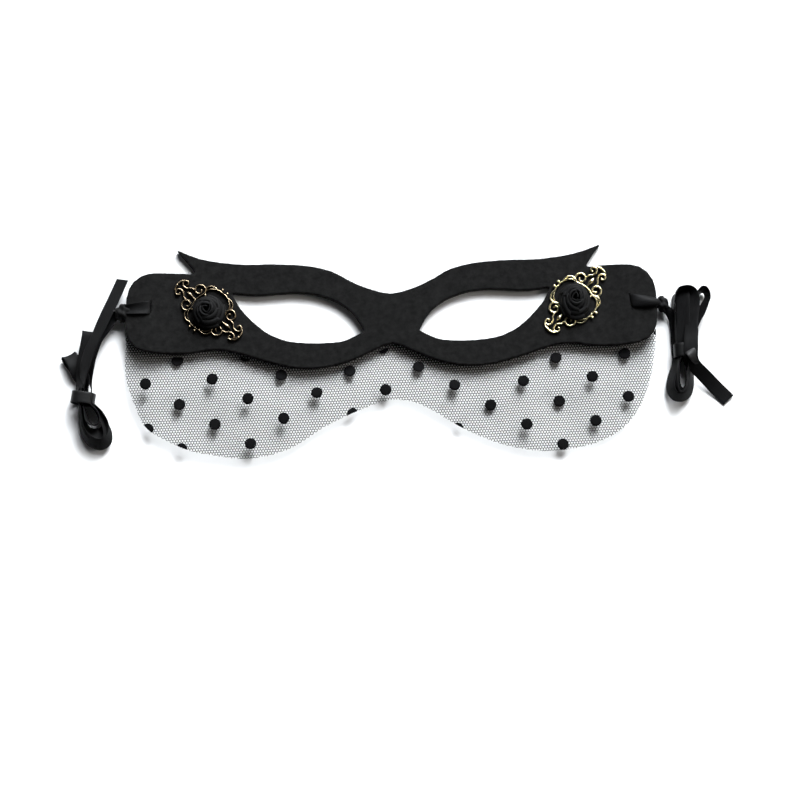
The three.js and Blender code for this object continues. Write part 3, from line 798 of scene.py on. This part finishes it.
# The crest mark later sets where the brass gets its painted highlight.
def sweepWire(line, widths, steps, high):  # a wire with a flat back, marked 1 on its crest
    path = planSpline(line, steps)
    along = unit(np.gradient(path, axis=0))
    side = np.stack([-along[:, 1], along[:, 0]], axis=1)
    half = np.interp(np.linspace(0, len(widths) - 1, steps + 1), range(len(widths)), widths) / 2
    arc = np.linspace(0, math.pi, 9)
    taper = np.ones(steps + 1)
    taper[[1, -2]] = brassSet["taper"][1]
    taper[[0, -1]] = brassSet["taper"][0]
    points, crest = [], []
    for k in range(steps + 1):
        top = high * (0.72 + 0.28 * half[k] / max(half)) * taper[k]
        for t in arc:
            across = path[k] + side[k] * math.cos(t) * half[k] * taper[k]
            points.append((*across, math.sin(t) ** 0.85 * top))
            crest.append(math.sin(t))
    ring = len(arc)
    faces = tubeFaces(steps + 1, ring)
    faces += [tuple(range(ring)), tuple(steps * ring + m for m in range(ring))[::-1]]
    return np.array(points), faces, crest


def lathePart(profile, sectors, at=(0, 0, 0)):  # each row of the profile is radius, height, crest
    points, crest = [], []
    for r, z, mark in profile:
        for k in range(sectors):
            t = 2 * math.pi * k / sectors
            points.append((at[0] + r * math.cos(t), at[1] + r * math.sin(t), at[2] + z))
            crest.append(mark)
    return np.array(points), tubeFaces(len(profile), sectors, inward=True), crest


def flipped(part, x, y):
    points, faces, crest = part
    return points * np.array([x, y, 1]), [face[::-1] for face in faces] if x * y < 0 else faces, crest


def filigreeParts(settings):
    wire, high = settings["wire"], settings["high"]
    turns = np.linspace(-math.pi / 2, math.pi / 2, 9)
    rows = np.stack([np.cos(turns), 1 + np.sin(turns)], axis=1) * settings["ball"]
    # The ball's crest mark is 1 at its top, where the brass gets its painted highlight.
    ball = [(r, z, 0.5 + 0.5 * math.sin(t)) for (r, z), t in zip(rows, turns)]
    quarter = [
        sweepWire(line, [wire * share for share in widths], steps, high * tall)
        for tall, steps, widths, line in settings["wires"]
    ]
    quarter.append(lathePart(ball, 16, settings["ballAt"]))
    tall, steps, widths, line = settings["leaf"]
    leaf = sweepWire(line, widths, steps, high * tall)
    r, t = settings["plate"]
    plate = lathePart([(0.01, 0, 0.2), (r, 0, 0.2), (r, t, 0.5), (r - 0.4, t, 0.3), (0.01, t, 0.1)], 40)
    parts = [plate, leaf, flipped(leaf, -1, 1)]
    for x, y in ((1, 1), (-1, 1), (1, -1), (-1, -1)):
        parts += [flipped(part, x, y) for part in quarter]
    return parts


def onMask(points, at, turn, lift):  # from an ornament's own drawing to its place on the felt
    x, y, z = (turnedFlat(points, turn) + np.array([*at, maskLie["thick"] + lift])).T
    c, s = math.cos(feltTilt), math.sin(feltTilt)
    return np.stack([x, y * c + z * s + maskLie["shift"], z * c - y * s + feltLevel], axis=1)


def makeFiligree(side):
    lie = brassSet[side]
    points, faces, crest = joined(filigreeParts(brassSet))
    placed = onMask(points, lie["at"], lie["turn"], brassSet["restGap"])
    piece = pieceOf("brass_" + side, placed, faces)
    layer = piece.data.attributes.new("crest", "FLOAT", "POINT")
    layer.data.foreach_set("value", np.array(crest, np.float32))
    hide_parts("filigree_" + side)
    return piece


brass = {side: makeFiligree(side) for side in ("left", "right")}
print("filigrees made")

# Roses of rolled satin

roseSet = {
    "layers": [  # petals, span, foot, rim, height, flare, first turn
        (3, 150.0, 2.3, 3.6, 5.6, 0.8, 62.0),
        (3, 150.0, 3.3, 5.0, 4.8, 1.1, 10.0),
        (4, 118.0, 4.2, 6.0, 3.7, 1.3, 40.0),
        (5, 102.0, 4.8, 6.9, 2.4, 1.35, 0.0),
    ],
    "petalSteps": (24, 14),
    "petalFoot": 0.3,
    "flat": 0.3,  # how straight a petal's rim is
    "lip": 0.6,  # where the lip turns out, from the foot to the rim
    "rise": 0.7,  # where a petal is highest
    "droop": 0.9,
    "wobble": (12, 0.2, 0.3),  # of a petal's turn, rim and height
    "bud": {
        "low": 0.5, "wide": 2.1, "turns": 1.2, "high": 6.2, "foot": 1.2, "corner": 0.8, "steps": (60, 10),
    },
    "thick": 0.36,
    "base": [(0.01, 0), (4.9, 0), (5.6, 0.6), (5.0, 1.9), (3.0, 3.0), (0.01, 3.6)],
    "left": {"shift": (0.1, -1.3), "stretch": (1.0, 1.02), "turn": 42.0, "lean": (-1.0, 1.0)},
    "right": {"shift": (-0.5, -1.3), "stretch": (0.95, 1.14), "turn": -35.0, "lean": (0.5, 1.2)},
}


def petalPoints(turn, span, foot, rim, high, flare):
    low, turnOut, crown = roseSet["petalFoot"], roseSet["lip"], roseSet["rise"]
    points = []
    for s in np.linspace(-1, 1, roseSet["petalSteps"][0] + 1):
        angle = math.radians(turn + s * span / 2)
        straight = math.cos(math.radians(span / 2)) / math.cos(math.radians(s * span / 2))
        reach = rim * (1 + roseSet["flat"] * (straight - 0.7)) - 0.4 * abs(s) ** 3 + 0.3 * s
        top = high * (1 - 0.12 * s * s)
        for q in np.linspace(0, 1, roseSet["petalSteps"][1] + 1):
            lip = max(q - turnOut, 0) / (1 - turnOut)
            r = foot + (reach - flare - foot) * min(q / turnOut, 1) ** 0.7
            r += flare * math.sin(lip * math.pi / 2)
            z = low + (top - low) * math.sin(min(q / crown, 1) * math.pi / 2)
            z -= roseSet["droop"] * lip**2.2
            points.append((r * math.cos(angle), r * math.sin(angle), z))
    return points


def budPoints(turn, low, wide, turns, high, foot, corner, steps):  # a roll with three corners
    points = []
    for t in np.linspace(0, 1, steps[0] + 1):
        angle = t * turns * 2 * math.pi
        third = angle % (2 * math.pi / 3) - math.pi / 3
        roll = (low + (wide - low) * t) * (1 + corner * (0.5 / math.cos(third) - 0.7))
        angle += math.radians(turn)
        for q in np.linspace(0, 1, steps[1] + 1):
            lip = max(q - 0.75, 0) / 0.25
            r = roll * (1.15 - 0.15 * q) + 0.35 * lip**1.5
            z = foot + (high - 0.35 * t - foot) * q - 0.2 * lip**2
            points.append((r * math.cos(angle), r * math.sin(angle), z))
    return points


def gridFaces(start, across, up):
    faces = []
    for i in range(across):
        for k in range(up):
            a = start + i * (up + 1) + k
            faces.append((a, a + up + 1, a + up + 2, a + 1))
    return faces


def rollMesh(turn):  # the bud and its petals, as thick cloth
    points = budPoints(turn, **roseSet["bud"])
    faces = gridFaces(0, *roseSet["bud"]["steps"])
    turnBy, rimBy, highBy = roseSet["wobble"]
    for count, span, foot, rim, top, flare, first in roseSet["layers"]:
        for n in range(count):
            wobble = noise.noise(Vector((n * 1.7, rim, 3.0)))
            at = first + turn + 360 * n / count + turnBy * wobble
            faces += gridFaces(len(points), *roseSet["petalSteps"])
            points += petalPoints(at, span, foot, rim + rimBy * wobble, top + highBy * wobble, flare)
    draft = linkedObject("rose_draft", smoothMesh("rose_draft", points, faces))
    shell = draft.modifiers.new("shell", "SOLIDIFY")
    shell.thickness = roseSet["thick"] * mm
    shell.offset = 0
    return bakedMesh(draft)


def makeRose(side):
    lie = roseSet[side]
    mesh = rollMesh(lie["turn"])
    roll = pointsOf(mesh)
    roll[:, :2] += smoothStep(roll[:, 2], 1.5, 6.0)[:, None] * np.array(lie["lean"])
    roll[:, :2] *= np.array(lie["stretch"])
    rollFaces = [tuple(face.vertices) for face in mesh.polygons]
    base = lathePart([(r, z, 0) for r, z in roseSet["base"]], 32)
    points, faces, _ = joined([(roll, rollFaces, []), base])
    at = np.array(brassSet[side]["at"]) + np.array(lie["shift"])
    lift = brassSet["restGap"] * 2 + brassSet["plate"][1]
    rose = pieceOf("cloth_rose_" + side, onMask(points, at, 0.0, lift), faces)
    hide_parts("rose_" + side)
    return rose


roses = {side: makeRose(side) for side in ("left", "right")}
print("roses made")

# Materials


def setInputs(tree, node, inputs):  # an input is a value or another node's output
    for slot, value in inputs.items():
        if isinstance(value, bpy.types.NodeSocket):
            tree.links.new(value, node.inputs[slot])
        else:
            node.inputs[slot].default_value = value


def newMaterial(name):
    material = bpy.data.materials.new(name)
    material.use_nodes = True
    return material, material.node_tree


def shaded(material, inputs):
    setInputs(material.node_tree, material.node_tree.nodes["Principled BSDF"], inputs)
    return material


def addNode(tree, kind, inputs, output):
    node = tree.nodes.new(kind)
    setInputs(tree, node, inputs)
    return node.outputs[output]


def objectSpace(tree):
    return addNode(tree, "ShaderNodeTexCoord", {}, "Object")


def weaveSpace(tree, scale):  # across and along a ribbon
    marks = tree.nodes.new("ShaderNodeUVMap")
    marks.uv_map = "weave"
    return addNode(tree, "ShaderNodeMapping", {"Vector": marks.outputs["UV"], "Scale": scale}, "Vector")


def noiseNode(tree, space, scale, detail, rough=0.5):
    inputs = {"Vector": space, "Scale": scale, "Detail": detail, "Roughness": rough}
    return addNode(tree, "ShaderNodeTexNoise", inputs, "Fac")


def rangeNode(tree, source, low, high, toLow, toHigh):
    inputs = {"Value": source, "From Min": low, "From Max": high, "To Min": toLow, "To Max": toHigh}
    return addNode(tree, "ShaderNodeMapRange", inputs, "Result")


def bumpNode(tree, source, depth, strength, under=None):
    inputs = {"Height": source, "Distance": depth, "Strength": strength}
    if under is not None:
        inputs["Normal"] = under
    return addNode(tree, "ShaderNodeBump", inputs, "Normal")


def rampNode(tree, source, stops):
    node = tree.nodes.new("ShaderNodeValToRGB")
    for element, (place, color) in zip(node.color_ramp.elements, stops):
        element.position = place
        element.color = (*color, 1)
    tree.links.new(source, node.inputs["Fac"])
    return node.outputs["Color"]


# In the looks below a noise is its scale, detail and roughness, and a bump its depth and strength

feltLook = {
    "shader": {"Roughness": 1.0, "Specular IOR Level": 0.1, "Sheen Weight": 0.025, "Sheen Roughness": 0.6},
    "mottle": (420, 3, 0.6),
    "fibres": (2600, 4, 0.65),
    "colors": [(0.3, (0.0023, 0.0023, 0.0023)), (0.72, (0.0078, 0.0077, 0.0076))],
    "mottleBump": (0.00025, 0.5),
    "fibreBump": (0.00018, 0.85),
}


def feltMaterial(look):
    material, tree = newMaterial("black felt")
    mottle = noiseNode(tree, objectSpace(tree), *look["mottle"])
    fibres = noiseNode(tree, objectSpace(tree), *look["fibres"])
    color = rampNode(tree, mottle, look["colors"])
    normal = bumpNode(tree, mottle, *look["mottleBump"])
    normal = bumpNode(tree, fibres, *look["fibreBump"], normal)
    return shaded(material, {**look["shader"], "Base Color": color, "Normal": normal})


netLook = {
    "shader": {"Specular IOR Level": 0.25},
    "shade": (900, 2),
    "colors": [(0.3, (0.004, 0.004, 0.0045)), (0.7, (0.010, 0.010, 0.0105))],
    "roughness": (0.6, 0.85),
}


def netMaterial(look):
    material, tree = newMaterial("black net")
    shade = noiseNode(tree, objectSpace(tree), *look["shade"])
    color = rampNode(tree, shade, look["colors"])
    rough = rangeNode(tree, shade, 0.3, 0.7, *look["roughness"])
    return shaded(material, {**look["shader"], "Base Color": color, "Roughness": rough})


flockLook = {
    "shader": {"Roughness": 1.0, "Specular IOR Level": 0.05, "Sheen Weight": 0.01},
    "pile": (4200, 3, 0.7),
    "colors": [(0.35, (0.0022, 0.0022, 0.0024)), (0.7, (0.006, 0.006, 0.0066))],
    "bump": (0.00015, 0.8),
}


def flockMaterial(look):
    material, tree = newMaterial("black flock")
    pile = noiseNode(tree, objectSpace(tree), *look["pile"])
    color = rampNode(tree, pile, look["colors"])
    normal = bumpNode(tree, pile, *look["bump"])
    return shaded(material, {**look["shader"], "Base Color": color, "Normal": normal})


satinSet = {
    "streaks": {"woven": (46, 1.6, 1), "rolled": (500, 3), "bump": (0.00003, 0.4)},
    "threads": {"woven": (70, 60, 1), "rolled": (3000, 2), "bump": (0.00003, 0.35)},
}
satinLooks = {
    "ribbon": {"woven": True, "roughness": (0.44, 0.54), "shine": 0.05, "dark": 0.0045, "light": 0.0085},
    "wrap": {"woven": True, "roughness": (0.42, 0.52), "shine": 0.2, "dark": 0.0028, "light": 0.006},
    "rose": {"woven": False, "roughness": (0.6, 0.7), "shine": 0.1, "dark": 0.002, "light": 0.0045},
}


def satinMaterial(kind, look):
    material, tree = newMaterial("black satin " + kind)
    streakSet, threadSet = satinSet["streaks"], satinSet["threads"]
    if look["woven"]:
        streaks = noiseNode(tree, weaveSpace(tree, streakSet["woven"]), 1.0, 3)
        threads = noiseNode(tree, weaveSpace(tree, threadSet["woven"]), 1.0, 1)
    else:
        streaks = noiseNode(tree, objectSpace(tree), *streakSet["rolled"])
        threads = noiseNode(tree, objectSpace(tree), *threadSet["rolled"])
    dark, light = look["dark"], look["light"]
    stops = [(0.3, (dark, dark, dark * 1.05)), (0.7, (light, light, light * 1.03))]
    inputs = {
        "Base Color": rampNode(tree, streaks, stops),
        "Roughness": rangeNode(tree, streaks, 0.3, 0.7, *look["roughness"]),
        "Specular IOR Level": look["shine"],
    }
    normal = bumpNode(tree, streaks, *streakSet["bump"])
    inputs["Normal"] = bumpNode(tree, threads, *threadSet["bump"], normal)
    return shaded(material, inputs)


# The bright end of each brass ramp is a painted highlight along the wire crests; the dark end is patina low
# on the wires.
brassLooks = {  # dark low down, bright on the crests, with grime between
    "grime": (1500, 4, 0.6),
    "bump": (0.00004, 0.5),
    "left": {
        "name": "antique brass",
        "colors": [(0.96, (0.05, 0.034, 0.018)), (1.0, (0.36, 0.285, 0.19))],
        "roughness": (0.44, 0.22),
        "worn": 0.27,
    },
    "right": {
        "name": "pale brass",
        "colors": [(0.94, (0.16, 0.12, 0.05)), (1.0, (1.0, 0.9, 0.56))],
        "roughness": (0.42, 0.22),
        "worn": 0.5,
    },
}


def brassMaterial(look):
    material, tree = newMaterial(look["name"])
    crest = tree.nodes.new("ShaderNodeAttribute")
    crest.attribute_name = "crest"
    grime = noiseNode(tree, objectSpace(tree), *brassLooks["grime"])
    mixed = tree.nodes.new("ShaderNodeMath")
    mixed.operation = "MULTIPLY_ADD"
    setInputs(tree, mixed, {0: grime, 1: look["worn"], 2: crest.outputs["Fac"]})
    # Grime plus the crest mark; its bright end paints a highlight along each wire's crest.
    crestHighlightAndGrime = mixed.outputs[0]
    inputs = {
        "Base Color": rampNode(tree, crestHighlightAndGrime, look["colors"]),
        "Roughness": rangeNode(tree, crestHighlightAndGrime, 0.5, 1.2, *look["roughness"]),
        "Normal": bumpNode(tree, grime, *brassLooks["bump"]),
        "Metallic": 1.0,
    }
    return shaded(material, inputs)


giveMaterial(felt, feltMaterial(feltLook))
giveMaterial(net, netMaterial(netLook))
giveMaterial(dots, flockMaterial(flockLook))
satins = {kind: satinMaterial(kind, look) for kind, look in satinLooks.items()}
for piece in bpy.context.scene.objects:
    if piece.name.endswith("_knot"):
        giveMaterial(piece, satins["rose"])
    elif piece.name.endswith(("_wrap", "_flap")):
        giveMaterial(piece, satins["wrap"])
    elif piece.name in ("ribbon_left", "ribbon_right"):
        giveMaterial(piece, satins["ribbon"])
for side in ("left", "right"):
    giveMaterial(roses[side], satins["rose"])
    giveMaterial(brass[side], brassMaterial(brassLooks[side]))
print("materials given")

# Floor and light

lightSet = {
    "floor": 0.86,
    "floorHalf": 3.0,  # metres
    "sky": 0.04,
    "skyColor": (0.98, 0.99, 1.0, 1.0),
    "lamps": {  # azimuth, height, then distance and size in metres, watts
        "key": (20.0, 36.0, 4.0, 1.4, 195.0),
        "soft": (20.0, 36.0, 4.0, 3.4, 390.0),
        "side": (86.0, 32.0, 4.0, 2.2, 38.0),
    },
    "lampColors": {"key": (0.94, 0.97, 1.0), "soft": (0.94, 0.97, 1.0), "side": (1.0, 0.94, 0.87)},
}


def makeLamp(name, azimuth, height, distance, size, power, color):
    a, e = math.radians(azimuth), math.radians(height)
    way = Vector((math.sin(a) * math.cos(e), math.cos(a) * math.cos(e), math.sin(e)))
    data = bpy.data.lights.new(name, "AREA")
    data.shape = "DISK"
    data.size = size
    data.energy = power
    data.color = color
    lamp = linkedObject(name, data)
    lamp.location = way * distance
    lamp.rotation_mode = "QUATERNION"
    lamp.rotation_quaternion = way.to_track_quat("Z", "Y")


def makeSky(settings):
    world = bpy.data.worlds.new("studio")
    bpy.context.scene.world = world
    world.use_nodes = True
    sky = world.node_tree.nodes["Background"]
    sky.inputs["Color"].default_value = settings["skyColor"]
    sky.inputs["Strength"].default_value = settings["sky"]


def makeFloor(settings):
    half, shade = settings["floorHalf"], settings["floor"]
    corners = [(-half, -half, 0), (half, -half, 0), (half, half, 0), (-half, half, 0)]
    mesh = bpy.data.meshes.new("floor")
    mesh.from_pydata(corners, [], [(0, 1, 2, 3)])
    floor = linkedObject("floor", mesh)
    look = {"Base Color": (shade, shade, shade, 1), "Roughness": 0.9, "Specular IOR Level": 0.1}
    giveMaterial(floor, shaded(newMaterial("paper")[0], look))


for name, lamp in lightSet["lamps"].items():
    makeLamp(name, *lamp, lightSet["lampColors"][name])
makeSky(lightSet)
makeFloor(lightSet)
bpy.context.scene.view_settings.view_transform = "Standard"
print("floor and light placed")
